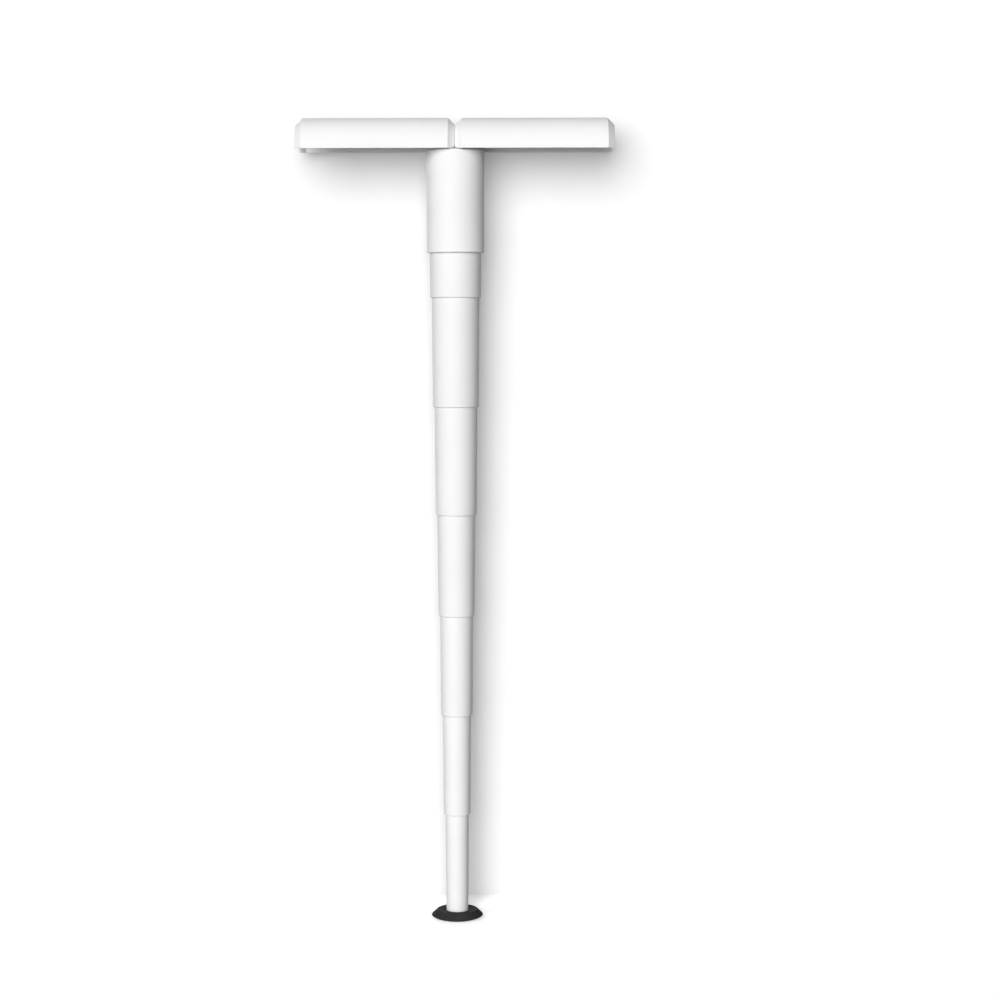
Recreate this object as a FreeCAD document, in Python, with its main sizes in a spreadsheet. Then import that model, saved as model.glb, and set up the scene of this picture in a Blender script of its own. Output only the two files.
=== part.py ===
import FreeCAD, Part
import Sketcher
import math
import os

# A pocket stool: seven telescoping leg sections hang from a hub, and two half-round
# wings hinge on the hub. Opened, the wings make the seat. Folded down, they close
# round the pushed-in leg as one can. +Z is up the leg and +X runs along the right wing.

# Driving sizes, in millimetres unless the name says otherwise
SIZES = {
    # The wings, which are half a can each
    "wing_length": 176.0,
    "can_radius": 35.5,
    "can_wall": 2.4,
    "can_chamfer": 7.5,
    "can_round": 0.8,
    "cap_wall": 2.2,
    "mouth_gap": 0.7,
    "wing_gap": 0.3,
    "rib_place": 69.0,
    "rib_width": 1.5,
    "rib_rise": 0.7,
    # The two hinges, each one pin that stands out at both ends of the hub's crown
    "hinge_offset": 4.5,
    "pin_radius": 1.5,
    "pin_seat_gap": 0.02,
    "pin_turning_gap": 0.08,
    "lug_radius": 4.2,
    "lug_span": 26.2,
    "crown_half_width": 21.5,
    "crown_half_depth": 8.5,
    "crown_rise": 17.0,
    "crown_end_slope": 3.0,
    "crown_round": 7.5,
    "crown_gap": 0.5,
    # The hub and the sleeve that is plugged into it
    "hub_proud": 0.3,
    "hub_wall": 1.3,
    "hub_top_gap": 0.6,
    "hub_plate": 2.4,
    "hub_edge": 1.0,
    "hub_depth": 29.4,
    "sleeve_radius": 31.9,
    "sleeve_depth": 113.7,
    "sleeve_round": 0.8,
    "spigot_wall": 1.05,
    "spigot_gap": 0.05,
    "spigot_top": 9.0,
    # The leg: how far it stands out of the sleeve when pulled right out, and the share of that
    # which each section shows. The first section shows the rest.
    "leg_reach": 737.3,
    "section_2_ratio": 0.16479,
    "section_3_ratio": 0.1633,
    "section_4_ratio": 0.1534,
    "section_5_ratio": 0.15163,
    "section_6_ratio": 0.15218,
    "section_7_ratio": 0.14757,
    "first_radius": 28.3,
    "first_overlap": 60.0,
    "taper": 0.00755,
    "lip_wall": 1.55,
    "body_wall": 1.1,
    "slide_gap": 0.25,
    "lip_round": 0.6,
    "land_length": 24.0,
    "top_band": 6.0,
    # The split ring near the top of each section
    "ring_drop": 4.2,
    "ring_height": 3.0,
    "ring_depth": 0.6,
    "ring_proud": 0.5,
    "ring_play": 0.05,
    "ring_opening_angle": 7.0,
    "stop_gap": 0.3,
    # The foot
    "foot_radius": 29.2,
    "foot_rim_height": 3.4,
    "foot_patch_radius": 20.0,
    "foot_crest_radius": 22.6,
    "foot_dish": 1.0,
    "foot_height": 8.6,
    "foot_round": 0.8,
    "socket_depth": 2.8,
    "socket_gap": 0.1,
    "web_thickness": 1.6,
    "recess_radius": 10.5,
    "washer_radius": 9.5,
    "washer_thickness": 1.2,
    "screw_radius": 1.6,
    "screw_head_radius": 3.4,
    "screw_head_height": 1.4,
    "screw_length": 14.0,
    "screw_hole_gap": 0.5,
    "thread_gap": 0.03,
    "plug_length": 18.0,
    "plug_gap": 0.05,
}
SECTION_COUNT = 7
ROOT_TWO = math.sqrt(2)
HALF_TURN = 180
WHOLE_TURN = 360

doc = FreeCAD.newDocument("stool")
sheet = doc.addObject("Spreadsheet::Sheet", "Sizes")
for row, (alias, number) in enumerate(SIZES.items(), start=1):
    sheet.set("A%d" % row, alias)
    sheet.set("B%d" % row, str(number))
    sheet.setAlias("B%d" % row, alias)
doc.recompute()


class Length:
    """A size worked out from the sheet: its number, and the expression that gives it."""

    def __init__(self, number, text):
        self.number = number
        self.text = text

    def combine(self, sign, other, number):
        right = other.text if isinstance(other, Length) else repr(other)
        return Length(number, "(%s %s %s)" % (self.text, sign, right))

    def __add__(self, other):
        return self.combine("+", other, self.number + value_of(other))

    def __sub__(self, other):
        return self.combine("-", other, self.number - value_of(other))

    def __mul__(self, other):
        return self.combine("*", other, self.number * value_of(other))

    def __truediv__(self, other):
        return self.combine("/", other, self.number / value_of(other))

    def __neg__(self):
        return Length(-self.number, "(-1 * %s)" % self.text)


def value_of(item):
    """The number behind a Length or a plain number."""
    return item.number if isinstance(item, Length) else float(item)


def size(alias):
    """One driving size, read from its cell."""
    return Length(float(sheet.get(alias)), "Sizes." + alias)


def bind(item, path, length):
    """Tie a property to the sheet."""
    item.setExpression(path, length.text)


def new_body(name, height=None, turn=0):
    """A body whose origin stands on the leg's axis at a height, turned about that axis."""
    body = doc.addObject("PartDesign::Body", name)
    body.Label = name
    body.Placement = FreeCAD.Placement(
        FreeCAD.Vector(0, 0, 0), FreeCAD.Rotation(FreeCAD.Vector(0, 0, 1), turn))
    if height is not None:
        bind(body, "Placement.Base.z", height)
    return body


def new_sketch(body, plane, name):
    """An empty sketch on one of the body's own origin planes."""
    sketch = body.newObject("Sketcher::SketchObject", name)
    planes = [item for item in body.Origin.OriginFeatures if item.Role == plane]
    sketch.AttachmentSupport = [(planes[0], "")]
    sketch.MapMode = "FlatFace"
    return sketch


def hold_point(sketch, edge, end, axis, length):
    """Fix one coordinate of a point: on the sketch's axis when it is nought, else by the sheet."""
    if not isinstance(length, Length):
        line = -2 if axis == "X" else -1
        sketch.addConstraint(Sketcher.Constraint("PointOnObject", edge, end, line))
        return
    index = sketch.addConstraint(
        Sketcher.Constraint("Distance" + axis, -1, 1, edge, end, length.number))
    sketch.setExpression("Constraints[%d]" % index, length.text)


def outline(body, plane, name, corners):
    """A closed sketch through the corners. A corner is (x, y), or (x, y, centre, radius)
    where an arc, anticlockwise for a positive radius, leads on to the next corner."""
    sketch = new_sketch(body, plane, name)
    points = [FreeCAD.Vector(value_of(item[0]), value_of(item[1]), 0) for item in corners]
    start_ends = []
    for index, corner in enumerate(corners):
        start = points[index]
        finish = points[(index + 1) % len(points)]
        if len(corner) == 2:
            sketch.addGeometry(Part.LineSegment(start, finish))
            start_ends.append((1, 2))
            continue
        centre = FreeCAD.Vector(value_of(corner[2][0]), value_of(corner[2][1]), 0)
        radius = value_of(corner[3])
        first, last = (start, finish) if radius > 0 else (finish, start)
        angles = [math.atan2(end.y - centre.y, end.x - centre.x) for end in (first, last)]
        if angles[1] <= angles[0]:
            angles[1] += 2 * math.pi
        circle = Part.Circle(centre, FreeCAD.Vector(0, 0, 1), abs(radius))
        sketch.addGeometry(Part.ArcOfCircle(circle, angles[0], angles[1]))
        start_ends.append((1, 2) if radius > 0 else (2, 1))
    for index, corner in enumerate(corners):
        before = index - 1 if index else len(corners) - 1
        sketch.addConstraint(Sketcher.Constraint(
            "Coincident", before, start_ends[before][1], index, start_ends[index][0]))
        hold_point(sketch, index, start_ends[index][0], "X", corner[0])
        hold_point(sketch, index, start_ends[index][0], "Y", corner[1])
        if len(corner) > 2:
            radius = corner[3] if corner[3].number > 0 else -corner[3]
            held = sketch.addConstraint(Sketcher.Constraint("Radius", index, radius.number))
            sketch.setExpression("Constraints[%d]" % held, radius.text)
    return sketch


def circles(body, plane, name, places, radius):
    """A sketch of equal circles, each place an (x, y) pair."""
    sketch = new_sketch(body, plane, name)
    for index, (across, up) in enumerate(places):
        centre = FreeCAD.Vector(value_of(across), value_of(up), 0)
        sketch.addGeometry(Part.Circle(centre, FreeCAD.Vector(0, 0, 1), radius.number))
        held = sketch.addConstraint(Sketcher.Constraint("Radius", index, radius.number))
        sketch.setExpression("Constraints[%d]" % held, radius.text)
        hold_point(sketch, index, 3, "X", across)
        hold_point(sketch, index, 3, "Y", up)
    return sketch


def revolve(body, sketch, axis="V_Axis", angle=None, both_ways=False):
    """Turn a profile about one of its sketch's axes: all the way round, unless an angle is given."""
    turned = body.newObject("PartDesign::Revolution", body.Name + "_turned")
    turned.Profile = sketch
    turned.ReferenceAxis = (sketch, [axis])
    turned.Angle = WHOLE_TURN
    turned.Midplane = both_ways
    if isinstance(angle, Length):
        bind(turned, "Angle", angle)
    elif angle is not None:
        turned.Angle = angle
    return turned


def pad(body, sketch, width):
    """Add a sketch's area, spread evenly to both sides of its plane."""
    padded = body.newObject("PartDesign::Pad", sketch.Name + "_pad")
    padded.Profile = sketch
    padded.SideType = "Symmetric"
    bind(padded, "Length", width)
    return padded


def cut(body, sketch, width):
    """Take a sketch's area away, evenly to both sides of its plane."""
    pocket = body.newObject("PartDesign::Pocket", sketch.Name + "_cut")
    pocket.Profile = sketch
    pocket.SideType = "Symmetric"
    bind(pocket, "Length", width)
    return pocket


hub_radius = size("sleeve_radius") + size("hub_proud")

# What each section shows when it is pulled right out
reach = {number: size("leg_reach") * size("section_%d_ratio" % number)
         for number in range(2, SECTION_COUNT + 1)}

# Places along the leg, from the floor up
foot_top = size("foot_height")
slide_step = size("lip_wall") + size("slide_gap")
section_lip = {SECTION_COUNT: foot_top}
for number in range(SECTION_COUNT, 1, -1):
    section_lip[number - 1] = section_lip[number] + reach[number]
section_lip[0] = foot_top + size("leg_reach")
reach[1] = section_lip[0] - section_lip[1]
split_height = section_lip[0] + size("sleeve_depth")
pin_place = size("hinge_offset") + size("wing_gap") / 2
pin_rise = size("hinge_offset")

# Outer radius of each section at its lower lip, stepping in by a wall and a gap at each joint
lip_radius = {1: size("first_radius")}
for number in range(2, SECTION_COUNT + 1):
    lip_radius[number] = (
        lip_radius[number - 1] - slide_step - size("taper") * reach[number])
overlap = size("land_length") + size("ring_drop") + size("stop_gap")


def section_bottom(number):
    """How far a section's lower end lies below its visible lip: only the last sits in the foot."""
    return size("socket_depth") if number == SECTION_COUNT else None


def section_length(number):
    """A section's whole length, from its lower end to its top."""
    length = reach[number] + (size("first_overlap") if number == 1 else overlap)
    hidden = section_bottom(number)
    return length if hidden is None else length + hidden


def section_radius(number, rise):
    """Outer radius of a section at a rise above its lower end."""
    hidden = section_bottom(number)
    base = lip_radius[number]
    if hidden is not None:
        base = base - size("taper") * hidden
    return base + size("taper") * rise if rise else base


def make_section(number):
    """One tapered tube: a guide land inside its lower lip, and a ring groove outside its top."""
    height = section_lip[number]
    hidden = section_bottom(number)
    if hidden is not None:
        height = height - hidden
    body = new_body("section_%d" % number, height)
    top = section_length(number)
    land = size("land_length")
    band = top - size("top_band")
    groove_low = top - size("ring_drop")
    groove_high = groove_low + size("ring_height")
    groove_radius = section_radius(number, groove_low) - size("ring_depth")
    edge = size("lip_round")
    foot_radius = section_radius(number, 0)
    corners = [
        (foot_radius - size("lip_wall"), 0),
        (foot_radius - edge, 0, (foot_radius - edge, edge), edge),
        (foot_radius, edge),
        (section_radius(number, groove_low), groove_low),
        (groove_radius, groove_low),
        (groove_radius, groove_high),
        (section_radius(number, groove_high), groove_high),
        (section_radius(number, top), top),
        (section_radius(number, top) - size("lip_wall"), top),
        (section_radius(number, band) - size("lip_wall"), band),
        (section_radius(number, band) - size("body_wall"), band),
        (section_radius(number, land) - size("body_wall"), land),
        (section_radius(number, land) - size("lip_wall"), land),
    ]
    revolve(body, outline(body, "XZ_Plane", "section_%d_profile" % number, corners))
    return body


def make_ring(number):
    """A split ring in a section's top groove. It rubs in the next section out and stops it
    from coming off over the guide land."""
    hidden = section_bottom(number)
    groove_low = section_length(number) - size("ring_drop")
    height = section_lip[number] + groove_low
    if hidden is not None:
        height = height - hidden
    body = new_body("section_%d_ring" % number, height)
    surface = section_radius(number, groove_low)
    inner = surface - size("ring_depth") + size("ring_play")
    outer = surface + size("ring_proud")
    high = size("ring_height") - size("ring_play")
    corners = [(inner, size("ring_play")), (outer, size("ring_play")), (outer, high), (inner, high)]
    profile = outline(body, "XZ_Plane", "ring_%d_profile" % number, corners)
    revolve(body, profile, angle=Length(WHOLE_TURN, str(WHOLE_TURN)) - size("ring_opening_angle"))
    return body


def make_sleeve():
    """The outer sleeve: a spigot at its top goes up into the hub."""
    body = new_body("sleeve", section_lip[0])
    mouth = lip_radius[1] + size("taper") * reach[1] + size("slide_gap")
    land = size("first_overlap") - size("ring_drop") - size("stop_gap")
    spigot = hub_radius - size("hub_wall") - size("spigot_gap")
    bore = spigot - size("spigot_wall")
    shoulder = size("sleeve_depth") - size("hub_depth")
    top = size("sleeve_depth") - size("spigot_top") - size("spigot_gap")
    edge = size("sleeve_round")
    corners = [
        (mouth, 0),
        (size("sleeve_radius") - edge, 0, (size("sleeve_radius") - edge, edge), edge),
        (size("sleeve_radius"), edge),
        (size("sleeve_radius"), shoulder),
        (spigot, shoulder),
        (spigot, top),
        (bore, top),
        (bore, land),
        (mouth + size("taper") * land, land),
    ]
    revolve(body, outline(body, "XZ_Plane", "sleeve_profile", corners))
    return body


def make_hub():
    """The hub: a cap over the leg with the crown that carries both hinge pins. Its height
    is counted from the seat's underside."""
    body = new_body("hub", split_height)
    outer = hub_radius
    inner = outer - size("hub_wall")
    bore = inner - size("spigot_gap") - size("spigot_wall")
    top = -size("hub_top_gap")
    ceiling = top - size("hub_plate")
    edge = size("hub_edge")
    corners = [
        (0, top),
        (0, ceiling),
        (bore, ceiling),
        (bore, -size("spigot_top")),
        (inner, -size("spigot_top")),
        (inner, -size("hub_depth")),
        (outer, -size("hub_depth")),
        (outer, top - edge),
        (outer - edge, top),
    ]
    revolve(body, outline(body, "XZ_Plane", "hub_profile", corners))
    half = size("crown_half_width")
    rise = size("crown_rise")
    slope_start = size("hinge_offset") * 2 + size("crown_gap")
    crown = outline(body, "YZ_Plane", "crown", [
        (-half, top - edge),
        (half, top - edge),
        (half, slope_start),
        (half - size("crown_end_slope"), rise),
        (size("crown_end_slope") - half, rise),
        (-half, slope_start),
    ])
    pad(body, crown, size("crown_half_depth") * 2)
    doc.recompute()
    crown_pad = body.Tip
    long_edges = [
        "Edge%d" % index for index, edge_shape in enumerate(crown_pad.Shape.Edges, start=1)
        if is_crown_top_edge(edge_shape, body)]
    rounded = body.newObject("PartDesign::Fillet", "crown_rounding")
    rounded.Base = (crown_pad, long_edges)
    bind(rounded, "Radius", size("crown_round"))
    pins = circles(body, "XZ_Plane", "pin_bores", [(pin_place, pin_rise), (-pin_place, pin_rise)],
                   size("pin_radius") + size("pin_seat_gap"))
    cut(body, pins, half * 2 + size("crown_gap") * 2)
    return body


def is_crown_top_edge(edge, body):
    """Whether an edge is one of the two long ones along the top of the crown."""
    level = size("crown_rise").number
    ends = [vertex.Point for vertex in edge.Vertexes]
    at_top = all(abs(point.z - level) < size("ring_play").number for point in ends)
    return at_top and len(ends) == 2 and abs(ends[0].x - ends[1].x) < size("ring_play").number


def make_wing(name, turn):
    """One wing: half a can, with its open side down. Its end towards the hub has a window for the
    crown, two lugs for the pin, and a rounded corner that lets it swing. Its outer end is a mouth
    that clears the leg when the wing folds down while the leg is still pulled out."""
    body = new_body(name, split_height, turn)
    near = size("wing_gap") / 2
    far = near + size("wing_length")
    radius = size("can_radius")
    bevel = size("can_chamfer")
    cap = size("cap_wall")
    inner = radius - size("can_wall")
    slant_run = bevel + size("can_wall") * (ROOT_TWO - 1)
    slant_start = radius - bevel - size("can_wall") * ROOT_TWO + cap
    mouth = lip_radius[2] + size("taper") * reach[2] + size("mouth_gap")
    mouth_depth = mouth - radius + bevel + size("can_wall") * ROOT_TWO
    ease = size("can_round")
    along = ease * (ROOT_TWO - 1)
    aslant = along / ROOT_TWO
    shoulder = radius - bevel
    rib_near = near + size("rib_place") - size("rib_width") / 2
    rib_far = rib_near + size("rib_width")
    rib_radius = inner - size("rib_rise")
    corners = [
        (near, 0),
        (near + cap, 0),
        (near + cap, slant_start),
        (near + slant_run, inner),
        (rib_near, inner),
        (rib_near, rib_radius),
        (rib_far, rib_radius),
        (rib_far, inner),
        (far - slant_run, inner),
        (far - mouth_depth, mouth),
        (far, mouth),
        (far, shoulder - along, (far - ease, shoulder - along), ease),
        (far - aslant, shoulder + aslant),
        (far - bevel + aslant, radius - aslant, (far - bevel - along, radius - ease), ease),
        (far - bevel - along, radius),
        (near + bevel + along, radius, (near + bevel + along, radius - ease), ease),
        (near + bevel - aslant, radius - aslant),
        (near + aslant, shoulder + aslant, (near + ease, shoulder - along), ease),
        (near, shoulder - along),
    ]
    profile = outline(body, "XZ_Plane", name + "_profile", corners)
    revolve(body, profile, axis="H_Axis", angle=HALF_TURN, both_ways=True)

    lug = size("lug_radius")
    lugs = outline(body, "XZ_Plane", name + "_lugs", [
        (near, pin_rise),
        (pin_place - lug, pin_rise, (pin_place, pin_rise), lug),
        (pin_place, pin_rise + lug),
        (near, pin_rise + lug),
    ])
    pad(body, lugs, size("lug_span") * 2)

    half = size("crown_half_width") + size("crown_gap")
    slope = size("crown_end_slope")
    low = pin_rise * 2 + size("crown_gap") * 2
    high = size("crown_rise") + size("crown_gap")
    window = outline(body, "YZ_Plane", name + "_window", [
        (-half, -size("crown_gap")),
        (half, -size("crown_gap")),
        (half, low),
        (half - slope, high),
        (slope - half, high),
        (-half, low),
    ])
    cut(body, window, (pin_place + lug + size("crown_gap")) * 2)

    swing = size("hinge_offset")
    beyond = near + swing
    corner = outline(body, "XZ_Plane", name + "_corner", [
        (near, pin_rise, (pin_place, pin_rise), swing),
        (pin_place, 0),
        (pin_place, -swing),
        (near - beyond, -swing),
        (near - beyond, pin_rise),
    ])
    cut(body, corner, radius * 2 + beyond)

    bore = circles(body, "XZ_Plane", name + "_bores", [(pin_place, pin_rise)],
                   size("pin_radius") + size("pin_turning_gap"))
    cut(body, bore, (size("lug_span") + size("crown_gap")) * 2)
    return body


def make_pin(name, side):
    """One hinge pin, flush with the outer faces of the wing's two lugs."""
    body = new_body(name, split_height)
    disc = circles(body, "XZ_Plane", name + "_disc", [(pin_place * side, pin_rise)],
                   size("pin_radius"))
    pad(body, disc, size("lug_span") * 2)
    return body


def make_rubber_foot():
    """The rubber foot: a flat patch and a domed edge below, and a sloping flank up to a crest
    round a shallow dish. The last section stands in a socket in the dish, and the washer and
    screw have a recess below."""
    body = new_body("rubber_foot")
    patch = size("foot_patch_radius")
    rim = size("foot_radius")
    rim_height = size("foot_rim_height")
    crest_radius = size("foot_crest_radius")
    crest = foot_top + size("foot_dish")
    run = rim - patch
    dome = (run * run + rim_height * rim_height) / (rim_height * 2)
    socket = section_radius(SECTION_COUNT, size("socket_depth")) + size("socket_gap")
    floor = foot_top - size("socket_depth")
    ceiling = floor - size("web_thickness")
    hole = size("screw_radius") + size("screw_hole_gap")
    corners = [
        (size("recess_radius"), 0),
        (patch, 0, (patch, dome), dome),
        (rim, rim_height),
        (crest_radius, crest),
        (socket, foot_top),
        (socket, floor),
        (hole, floor),
        (hole, ceiling),
        (size("recess_radius"), ceiling),
    ]
    turned = revolve(body, outline(body, "XZ_Plane", "foot_profile", corners))
    doc.recompute()
    outside = [(rim, rim_height), (crest_radius, crest)]
    edges = [
        "Edge%d" % index for index, edge in enumerate(turned.Shape.Edges, start=1)
        if any(is_circle_at(edge, radius, height) for radius, height in outside)]
    eased = body.newObject("PartDesign::Fillet", "foot_easing")
    eased.Base = (turned, edges)
    bind(eased, "Radius", size("foot_round"))
    return body


def is_circle_at(edge, radius, height):
    """Whether an edge is the circle of a turned corner, by the corner's radius and height."""
    if not isinstance(edge.Curve, Part.Circle):
        return False
    off = abs(edge.Curve.Radius - radius.number) + abs(edge.Curve.Center.z - height.number)
    return off < size("ring_play").number


def make_foot_plug():
    """The hard plug in the last section's lower end, which the foot's screw bites into."""
    floor = foot_top - size("socket_depth")
    body = new_body("foot_plug", floor)
    outer = section_radius(SECTION_COUNT, 0) - size("lip_wall") - size("plug_gap")
    inner = size("screw_radius") + size("thread_gap")
    length = size("plug_length")
    corners = [(inner, 0), (outer, 0), (outer, length), (inner, length)]
    revolve(body, outline(body, "XZ_Plane", "plug_profile", corners))
    return body


def make_foot_washer():
    """The washer that spreads the screw's pull over the rubber web."""
    ceiling = foot_top - size("socket_depth") - size("web_thickness")
    body = new_body("foot_washer", ceiling - size("washer_thickness"))
    inner = size("screw_radius") + size("screw_hole_gap")
    outer = size("washer_radius")
    high = size("washer_thickness")
    corners = [(inner, 0), (outer, 0), (outer, high), (inner, high)]
    revolve(body, outline(body, "XZ_Plane", "washer_profile", corners))
    return body


def make_foot_screw():
    """The screw up the middle of the foot, its head clear of the floor in the recess."""
    ceiling = foot_top - size("socket_depth") - size("web_thickness")
    body = new_body("foot_screw", ceiling - size("washer_thickness") - size("screw_head_height"))
    head = size("screw_head_radius")
    shank = size("screw_radius")
    under = size("screw_head_height")
    tip = under + size("screw_length")
    corners = [(0, 0), (head, 0), (head, under), (shank, under), (shank, tip - shank), (0, tip)]
    revolve(body, outline(body, "XZ_Plane", "screw_profile", corners))
    return body


pieces = [make_hub(), make_sleeve()]
for section in range(1, SECTION_COUNT + 1):
    pieces.append(make_section(section))
    pieces.append(make_ring(section))
pieces.append(make_wing("right_wing", 0))
pieces.append(make_wing("left_wing", HALF_TURN))
pieces.append(make_pin("right_hinge_pin", 1))
pieces.append(make_pin("left_hinge_pin", -1))
pieces.append(make_rubber_foot())
pieces.append(make_foot_plug())
pieces.append(make_foot_washer())
pieces.append(make_foot_screw())
doc.recompute()

for item in doc.Objects:
    if "Invalid" in item.State or "Error" in item.State:
        raise RuntimeError("%s failed: %s" % (item.Name, item.State))
for piece in pieces:
    if piece.Shape.isNull() or not piece.Shape.isValid() or len(piece.Shape.Solids) != 1:
        raise RuntimeError("%s has no sound single solid" % piece.Label)

os.makedirs("parts", exist_ok=True)
for piece in pieces:
    piece.Shape.exportStep("parts/%s.step" % piece.Label)
    print("%-18s %9.1f mm3" % (piece.Label, piece.Shape.Volume))
print("seat underside at", round(split_height.number, 2))
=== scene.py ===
import math

import bpy
from mathutils import Euler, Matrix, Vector


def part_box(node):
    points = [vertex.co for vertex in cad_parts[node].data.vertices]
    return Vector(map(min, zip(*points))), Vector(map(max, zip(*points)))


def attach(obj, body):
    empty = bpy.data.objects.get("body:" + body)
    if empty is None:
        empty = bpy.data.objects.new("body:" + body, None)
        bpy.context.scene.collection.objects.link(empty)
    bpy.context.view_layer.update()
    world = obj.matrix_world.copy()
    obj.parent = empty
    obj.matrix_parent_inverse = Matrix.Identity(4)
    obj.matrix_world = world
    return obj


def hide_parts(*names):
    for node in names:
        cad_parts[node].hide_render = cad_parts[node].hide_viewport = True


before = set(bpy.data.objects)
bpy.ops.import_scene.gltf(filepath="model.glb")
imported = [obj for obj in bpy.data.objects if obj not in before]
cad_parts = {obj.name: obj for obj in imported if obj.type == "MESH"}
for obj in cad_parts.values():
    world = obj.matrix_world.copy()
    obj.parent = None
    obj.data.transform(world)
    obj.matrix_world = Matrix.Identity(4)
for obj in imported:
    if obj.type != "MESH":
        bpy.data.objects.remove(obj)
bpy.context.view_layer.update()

# An opened pocket stool in white moulded plastic: a tapering leg of seven telescoping tubes under
# a hub, two half-can wings laid flat as the seat, and a black rubber foot. Lengths are in metres.

MM = 0.001
TUBE_COUNT = 7

# Moulded tube sizes that the photograph can't give from outside, as the leg's solids have them
TAPER = 0.00755
LIP_WALL = 1.55 * MM
BODY_WALL = 1.1 * MM
LIP_ROUND = 0.6 * MM
GUIDE_LAND = 24 * MM
TOP_BAND = 6 * MM
RING_DROP = 4.2 * MM
RING_HEIGHT = 3 * MM
RING_DEPTH = 0.6 * MM

# How finely a tube is drawn, and from what angle an edge counts as a corner
SIDES = 144
LIP_ROUND_STEPS = 5
SHARP_EDGE = math.radians(35)
# A profile swept round a level circle has its Y pointing down, so a rise is drawn as minus Y
PROFILE_UP = -1

# What sets a Mix node to mix colours
COLOURS = {"data_type": "RGBA"}


def linear(hex_colour):
    """An sRGB hex colour as the linear RGBA that Blender's sockets take."""
    channels = [int(hex_colour[i:i + 2], 16) / 255 for i in (1, 3, 5)]
    return [c / 12.92 if c <= 0.04045 else ((c + 0.055) / 1.055) ** 2.4 for c in channels] + [1]


def add(tree, kind, settings=None, **inputs):
    """A node with its settings. An input named like 'Base Color' is given as Base_Color, an input
    by its place as i0, i1 and so on, and a socket as its value is linked."""
    node = tree.nodes.new(kind)
    for name, value in (settings or {}).items():
        setattr(node, name, value)
    for name, value in inputs.items():
        by_place = name[0] == "i" and name[1:].isdigit()
        socket = node.inputs[int(name[1:]) if by_place else name.replace("_", " ")]
        if isinstance(value, bpy.types.NodeSocket):
            tree.links.new(value, socket)
        else:
            socket.default_value = value
    return node


def new_material(name):
    """An empty node material and the shader that it ends in."""
    material = bpy.data.materials.new(name)
    material.use_nodes = True
    tree = material.node_tree
    tree.nodes.clear()
    shader = add(tree, "ShaderNodeBsdfPrincipled")
    add(tree, "ShaderNodeOutputMaterial", Surface=shader.outputs["BSDF"])
    return material, tree, shader


def grain(tree, size, detail):
    """Noise whose patches are a real size across, read from the piece's own place."""
    place = add(tree, "ShaderNodeTexCoord")
    return add(tree, "ShaderNodeTexNoise", Vector=place.outputs["Object"], Scale=1 / size,
               Detail=detail, Roughness=0.6).outputs["Fac"]


def moulded_plastic(name, pale, deep, roughness):
    """ABS, injection moulded in a spark-eroded tool. The tool leaves an even pitted grain of
    about 0.1 mm, drawn here at 0.5 mm so that it shows, which makes the shine soft and low. The
    melt's flow leaves faint broad clouds."""
    material, tree, shader = new_material(name)
    clouds = add(tree, "ShaderNodeMapRange", Value=grain(tree, 60 * MM, 2), From_Min=0.35,
                 From_Max=0.65)
    tone = add(tree, "ShaderNodeMix", COLOURS, i0=clouds.outputs["Result"], i6=linear(deep),
               i7=linear(pale))
    pits = grain(tree, 0.5 * MM, 3)
    height = add(tree, "ShaderNodeMapRange", Value=pits, From_Min=0.3, From_Max=0.7)
    # Painted shade: the grain's pits are painted a few percent darker than its tops, following the
    # relief's depth
    shade = add(tree, "ShaderNodeMix", COLOURS, i0=height.outputs["Result"],
                i6=linear("#E9E9E9"), i7=linear("#FFFFFF"))
    speckled_and_pit_shaded = add(tree, "ShaderNodeMix", COLOURS | {"blend_type": "MULTIPLY"}, i0=0.25,
                   i6=tone.outputs[2], i7=shade.outputs[2])
    tree.links.new(speckled_and_pit_shaded.outputs[2], shader.inputs["Base Color"])
    blur = add(tree, "ShaderNodeMapRange", Value=pits, From_Min=0.3, From_Max=0.7,
               To_Min=roughness - 0.05, To_Max=roughness + 0.05)
    tree.links.new(blur.outputs["Result"], shader.inputs["Roughness"])
    shader.inputs["IOR"].default_value = 1.5
    shader.inputs["Specular IOR Level"].default_value = 0.25
    relief = add(tree, "ShaderNodeBump", Strength=0.35, Distance=0.03 * MM, Height=pits)
    tree.links.new(relief.outputs["Normal"], shader.inputs["Normal"])
    return material


def moulded_rubber(name):
    """Black nitrile rubber, pressed in a blasted mould. Its carbon black swallows most light, and
    a thin grey bloom with a 1 mm mottle keeps it from being quite even."""
    material, tree, shader = new_material(name)
    bloom = add(tree, "ShaderNodeMapRange", Value=grain(tree, 9 * MM, 3), From_Min=0.35,
                From_Max=0.7)
    tone = add(tree, "ShaderNodeMix", COLOURS, i0=bloom.outputs["Result"], i6=linear("#313132"),
               i7=linear("#3A3A3B"))
    tree.links.new(tone.outputs[2], shader.inputs["Base Color"])
    mottle = grain(tree, 1 * MM, 4)
    blur = add(tree, "ShaderNodeMapRange", Value=mottle, From_Min=0.3, From_Max=0.7, To_Min=0.62,
               To_Max=0.8)
    tree.links.new(blur.outputs["Result"], shader.inputs["Roughness"])
    shader.inputs["IOR"].default_value = 1.52
    shader.inputs["Specular IOR Level"].default_value = 0.015
    relief = add(tree, "ShaderNodeBump", Strength=0.5, Distance=0.05 * MM, Height=mottle)
    tree.links.new(relief.outputs["Normal"], shader.inputs["Normal"])
    return material


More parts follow.
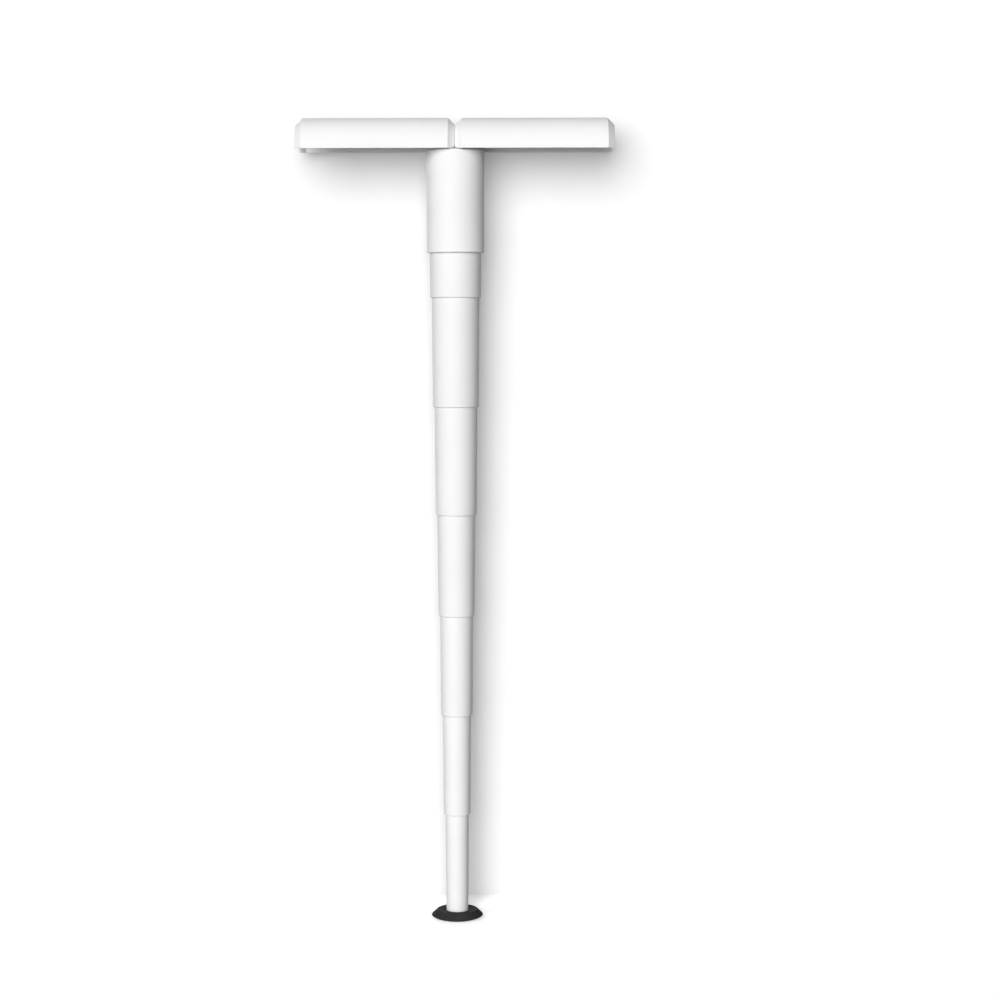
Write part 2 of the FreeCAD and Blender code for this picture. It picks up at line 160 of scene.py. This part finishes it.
def turned_steel(name):
    """Stainless steel bar, turned on a lathe. The tool's path leaves fine rings 0.2 mm apart
    along the bar, which spread the shine across them."""
    material, tree, shader = new_material(name)
    tone = add(tree, "ShaderNodeMix", COLOURS, i0=grain(tree, 3 * MM, 2), i6=linear("#A9AAAB"),
               i7=linear("#C2C3C4"))
    tree.links.new(tone.outputs[2], shader.inputs["Base Color"])
    shader.inputs["Metallic"].default_value = 1
    place = add(tree, "ShaderNodeTexCoord")
    rings = add(tree, "ShaderNodeTexWave", {"bands_direction": "Y"}, Vector=place.outputs["Object"],
                Scale=1 / (0.2 * MM * 2 * math.pi), Distortion=0.4, Detail=2.0)
    blur = add(tree, "ShaderNodeMapRange", Value=rings.outputs["Fac"], To_Min=0.22, To_Max=0.34)
    tree.links.new(blur.outputs["Result"], shader.inputs["Roughness"])
    relief = add(tree, "ShaderNodeBump", Strength=0.3, Distance=0.01 * MM,
                 Height=rings.outputs["Fac"])
    tree.links.new(relief.outputs["Normal"], shader.inputs["Normal"])
    return material


white_plastic = moulded_plastic("White ABS, moulded with a fine grain", "#EFEFEF", "#ECECEC", 0.6)
ring_plastic = moulded_plastic("Natural acetal, moulded smooth", "#D9D8D2", "#D2D1CA", 0.35)
foot_rubber = moulded_rubber("Black nitrile rubber, moulded")
pin_steel = turned_steel("Stainless steel, turned")


def new_tree(name, inputs):
    """A Geometry Nodes tree with one named input for each size, and its input node."""
    tree = bpy.data.node_groups.new(name, "GeometryNodeTree")
    tree.interface.new_socket("Geometry", in_out="OUTPUT", socket_type="NodeSocketGeometry")
    for label, kind in inputs.items():
        tree.interface.new_socket(label, in_out="INPUT", socket_type=kind)
    return tree, add(tree, "NodeGroupInput").outputs


def end_tree(tree, mesh, finish):
    """Real geometry in one material, smooth apart from its sharp corners."""
    angle = add(tree, "GeometryNodeInputMeshEdgeAngle").outputs["Unsigned Angle"]
    sharp = add(tree, "FunctionNodeCompare", {"operation": "GREATER_THAN"}, A=angle,
                B=SHARP_EDGE).outputs["Result"]
    shaded = add(tree, "GeometryNodeSetShadeSmooth", {"domain": "EDGE"}, Geometry=mesh,
                 Shade_Smooth=add(tree, "FunctionNodeBooleanMath", {"operation": "NOT"},
                                  i0=sharp).outputs["Boolean"])
    real = add(tree, "GeometryNodeRealizeInstances", Geometry=shaded.outputs["Geometry"])
    painted = add(tree, "GeometryNodeSetMaterial", Geometry=real.outputs["Geometry"],
                  Material=finish)
    add(tree, "NodeGroupOutput", Geometry=painted.outputs["Geometry"])


def tube_tree():
    """One leg tube, as a wall profile turned round the leg. Every corner of the profile is a
    rise above the tube's lower end and a depth under its tapering outside."""
    sizes = ["Base height", "Lip radius", "Length", "Taper", "Lip wall", "Body wall", "Lip round",
             "Guide land", "Top band", "Ring drop", "Ring height", "Ring depth"]
    kinds = {label: "NodeSocketFloat" for label in sizes}
    kinds["Sides"] = "NodeSocketInt"
    kinds["Finish"] = "NodeSocketMaterial"
    tree, given = new_tree("Telescopic tube", kinds)
    groove_low = add(tree, "ShaderNodeMath", {"operation": "SUBTRACT"}, i0=given["Length"],
                     i1=given["Ring drop"]).outputs["Value"]
    groove_high = add(tree, "ShaderNodeMath", i0=groove_low,
                      i1=given["Ring height"]).outputs["Value"]
    band = add(tree, "ShaderNodeMath", {"operation": "SUBTRACT"}, i0=given["Length"],
               i1=given["Top band"]).outputs["Value"]
    corners = [
        (0.0, given["Lip wall"]),
        (0.0, 0.0),
        (groove_low, 0.0),
        (groove_low, given["Ring depth"]),
        (groove_high, given["Ring depth"]),
        (groove_high, 0.0),
        (given["Length"], 0.0),
        (given["Length"], given["Lip wall"]),
        (band, given["Lip wall"]),
        (band, given["Body wall"]),
        (given["Guide land"], given["Body wall"]),
        (given["Guide land"], given["Lip wall"]),
    ]
    index = add(tree, "GeometryNodeInputIndex").outputs["Index"]
    rise_of, depth_of = [add(tree, "GeometryNodeIndexSwitch", {"data_type": "FLOAT"}, i0=index)
                         for _ in range(2)]
    for switch, part in ((rise_of, 0), (depth_of, 1)):
        while len(switch.index_switch_items) < len(corners):
            switch.index_switch_items.new()
        for place, corner in enumerate(corners, start=1):
            if isinstance(corner[part], bpy.types.NodeSocket):
                tree.links.new(corner[part], switch.inputs[place])
            else:
                switch.inputs[place].default_value = corner[part]
    rise = rise_of.outputs["Output"]
    outside = add(tree, "ShaderNodeMath", {"operation": "MULTIPLY"}, i0=rise, i1=given["Taper"])
    across = add(tree, "ShaderNodeMath", {"operation": "SUBTRACT"}, i0=outside.outputs["Value"],
                 i1=depth_of.outputs["Output"])
    upward = add(tree, "ShaderNodeMath", {"operation": "MULTIPLY"}, i0=rise, i1=PROFILE_UP)
    # The wall profile is drawn beside the circle that it is swept round
    spot = add(tree, "ShaderNodeCombineXYZ", X=across.outputs["Value"], Y=upward.outputs["Value"])
    line = add(tree, "GeometryNodeMeshLine", Count=len(corners))
    placed = add(tree, "GeometryNodeSetPosition", Geometry=line.outputs["Mesh"],
                 Position=spot.outputs["Vector"])
    curve = add(tree, "GeometryNodeMeshToCurve", Mesh=placed.outputs["Geometry"])
    closed = add(tree, "GeometryNodeSetSplineCyclic", Geometry=curve.outputs["Curve"], Cyclic=True)
    at_lip = add(tree, "FunctionNodeCompare", {"data_type": "INT", "operation": "EQUAL"},
                 A=index, B=1).outputs["Result"]
    round_here = add(tree, "ShaderNodeMath", {"operation": "MULTIPLY"}, i0=at_lip,
                     i1=given["Lip round"])
    eased = add(tree, "GeometryNodeFilletCurve", {"mode": "POLY"},
                Curve=closed.outputs["Geometry"], Count=LIP_ROUND_STEPS,
                Radius=round_here.outputs["Value"])
    rail = add(tree, "GeometryNodeCurvePrimitiveCircle", Resolution=given["Sides"],
               Radius=given["Lip radius"])
    wall = add(tree, "GeometryNodeCurveToMesh", Curve=rail.outputs["Curve"],
               Profile_Curve=eased.outputs["Curve"])
    outward = add(tree, "GeometryNodeFlipFaces", Mesh=wall.outputs["Mesh"])
    lift = add(tree, "ShaderNodeCombineXYZ", Z=given["Base height"])
    raised = add(tree, "GeometryNodeTransform", Geometry=outward.outputs["Mesh"],
                 Translation=lift.outputs["Vector"])
    end_tree(tree, raised.outputs["Geometry"], given["Finish"])
    return tree


def grown(name, tree, values):
    """A plain mesh object made by a tree with these input values."""
    holder = bpy.data.objects.new(name + "_source", bpy.data.meshes.new(name + "_source"))
    bpy.context.scene.collection.objects.link(holder)
    modifier = holder.modifiers.new("Shape", "NODES")
    modifier.node_group = tree
    for item in tree.interface.items_tree:
        if item.item_type == "SOCKET" and item.in_out == "INPUT":
            modifier[item.identifier] = values[item.name]
    view = bpy.context.evaluated_depsgraph_get()
    mesh = bpy.data.meshes.new_from_object(holder.evaluated_get(view))
    mesh.name = name
    piece = bpy.data.objects.new(name, mesh)
    bpy.context.scene.collection.objects.link(piece)
    bpy.data.objects.remove(holder)
    return piece


tube = tube_tree()
for number in range(1, TUBE_COUNT + 1):
    node = "section_%d" % number
    low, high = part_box(node)
    length = high.z - low.z
    piece = grown("leg_tube_%d" % number, tube, {
        "Base height": low.z,
        "Lip radius": high.x - TAPER * length,
        "Length": length,
        "Taper": TAPER,
        "Lip wall": LIP_WALL,
        "Body wall": BODY_WALL,
        "Lip round": LIP_ROUND,
        "Guide land": GUIDE_LAND,
        "Top band": TOP_BAND,
        "Ring drop": RING_DROP,
        "Ring height": RING_HEIGHT,
        "Ring depth": RING_DEPTH,
        "Sides": SIDES,
        "Finish": white_plastic,
    })
    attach(piece, node)
    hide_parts(node)

finishes = {"white_shell": white_plastic, "slip_ring": ring_plastic,
            "foot_rubber": foot_rubber, "pin_steel": pin_steel}
for name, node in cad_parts.items():
    slot = node.material_slots[0].name.split(".")[0]
    node.material_slots[0].material = finishes[slot]

# The stage: one sheet of white studio paper, flat under the stool and up a cove close behind it,
# where it catches the stool's soft shadow
COVE_STEPS = 24


def seen_directly(tree):
    """1 for what the camera sees, also in a reflection or through glass, and 0 for light that
    bounces from one surface to another."""
    path = add(tree, "ShaderNodeLightPath").outputs
    mirrored = add(tree, "ShaderNodeMath", {"operation": "MAXIMUM"}, i0=path["Is Glossy Ray"],
                   i1=path["Is Transmission Ray"])
    return add(tree, "ShaderNodeMath", {"operation": "MAXIMUM"}, i0=path["Is Camera Ray"],
               i1=mirrored.outputs["Value"]).outputs["Value"]


def studio_paper(name, wall_seen, floor_seen, wall_bounce, floor_bounce, wall_lift, floor_lift):
    """White studio paper. It keeps the stool's shadow, and looks white by a lift that lights
    nothing else. What it throws back on the stool is dimmer than it looks, as when black flags
    stand round a set, and its back can be seen through."""
    material = bpy.data.materials.new(name)
    material.use_nodes = True
    tree = material.node_tree
    tree.nodes.clear()
    seen = seen_directly(tree)
    surface = add(tree, "ShaderNodeNewGeometry").outputs
    upward = add(tree, "ShaderNodeSeparateXYZ", Vector=surface["Normal"]).outputs["Z"]
    bounced, looked_at = [
        add(tree, "ShaderNodeMix", COLOURS, i0=upward, i6=linear(wall), i7=linear(floor))
        for wall, floor in ((wall_bounce, floor_bounce), (wall_seen, floor_seen))]
    tone = add(tree, "ShaderNodeMix", COLOURS, i0=seen, i6=bounced.outputs[2],
               i7=looked_at.outputs[2])
    card = add(tree, "ShaderNodeBsdfDiffuse", Color=tone.outputs[2])
    lift = add(tree, "ShaderNodeMapRange", Value=upward, To_Min=wall_lift, To_Max=floor_lift)
    seen_lift = add(tree, "ShaderNodeMath", {"operation": "MULTIPLY"}, i0=seen,
                    i1=lift.outputs["Result"])
    glow = add(tree, "ShaderNodeEmission", Strength=seen_lift.outputs["Value"])
    front = add(tree, "ShaderNodeAddShader", i0=card.outputs["BSDF"], i1=glow.outputs["Emission"])
    clear = add(tree, "ShaderNodeBsdfTransparent")
    either = add(tree, "ShaderNodeMixShader", i0=surface["Backfacing"], i1=front.outputs["Shader"],
                 i2=clear.outputs["BSDF"])
    add(tree, "ShaderNodeOutputMaterial", Surface=either.outputs["Shader"])
    return material


def sweep(name, reach, wall_place, wall_high, cove, material):
    """A sheet with a flat floor, a rounded cove and an upright wall. It casts no shadow itself,
    so that the lower part of the key light also reaches the stool."""
    bends = [math.pi / 2 * step / COVE_STEPS for step in range(COVE_STEPS + 1)]
    section = [(-reach, 0)]
    section += [(wall_place - cove + cove * math.sin(bend), cove - cove * math.cos(bend))
                for bend in bends]
    section.append((wall_place, wall_high))
    corners = [(side * reach, y, z) for y, z in section for side in (-1, 1)]
    faces = [(2 * row, 2 * row + 1, 2 * row + 3, 2 * row + 2) for row in range(len(section) - 1)]
    mesh = bpy.data.meshes.new(name)
    mesh.from_pydata(corners, [], faces)
    mesh.shade_smooth()
    mesh.materials.append(material)
    sheet = bpy.data.objects.new(name, mesh)
    bpy.context.scene.collection.objects.link(sheet)
    sheet.visible_shadow = False


paper = studio_paper("White studio paper", wall_seen="#E2E2E2", floor_seen="#FFFFFF",
                     wall_bounce="#606060", floor_bounce="#A0A0A0", wall_lift=0.17,
                     floor_lift=0.55)
sweep("studio_sweep", reach=30, wall_place=0.046, wall_high=4, cove=0.015, material=paper)

# The room round the stage looks white, and throws almost no light
AMBIENT = 0.03
world = bpy.data.worlds.new("Studio")
bpy.context.scene.world = world
world.use_nodes = True
room = world.node_tree
room.nodes.clear()
strength = add(room, "ShaderNodeMapRange", Value=seen_directly(room), To_Min=AMBIENT, To_Max=1)
sky = add(room, "ShaderNodeBackground", Color=(1, 1, 1, 1), Strength=strength.outputs["Result"])
add(room, "ShaderNodeOutputWorld", Surface=sky.outputs["Background"])


def far_lamp(name, strength, width, toward):
    """A soft light far off, by how many degrees wide it looks and the way from the stool to it."""
    light = bpy.data.lights.new(name, "SUN")
    light.energy = strength
    light.angle = math.radians(width)
    lamp = bpy.data.objects.new(name, light)
    lamp.rotation_euler = Vector(toward).to_track_quat("Z", "Y").to_euler()
    bpy.context.scene.collection.objects.link(lamp)
    return light


# One very large soft light in front, a little high and to the left
far_lamp("key", strength=3.6, width=56, toward=(-0.23, -0.945, 0.24))

# A level light from behind, for the side that the photograph doesn't show. It stops at the first
# surface, so that the stool's bright back doesn't wash out the shadow on the wall.
back = far_lamp("back", strength=2.8, width=56, toward=(-0.2, 0.98, 0.0))
back.cycles.max_bounces = 0

# The camera stands where the photographer's did, and looks down a little
LOOK_DOWN = 2.74
ROLL = -0.1225
camera = bpy.data.objects.new("camera", bpy.data.cameras.new("camera"))
camera.data.lens = 83.04
camera.data.sensor_width = 36
camera.data.shift_y = -0.06
camera.location = (0.0491, -2.57, 0.6608)
tilt = Euler((math.radians(90 - LOOK_DOWN), 0, 0)).to_matrix()
roll = Euler((0, 0, math.radians(ROLL))).to_matrix()
camera.rotation_euler = (tilt @ roll).to_euler()
bpy.context.scene.collection.objects.link(camera)
bpy.context.scene.camera = camera
bpy.context.scene.view_settings.view_transform = "Standard"
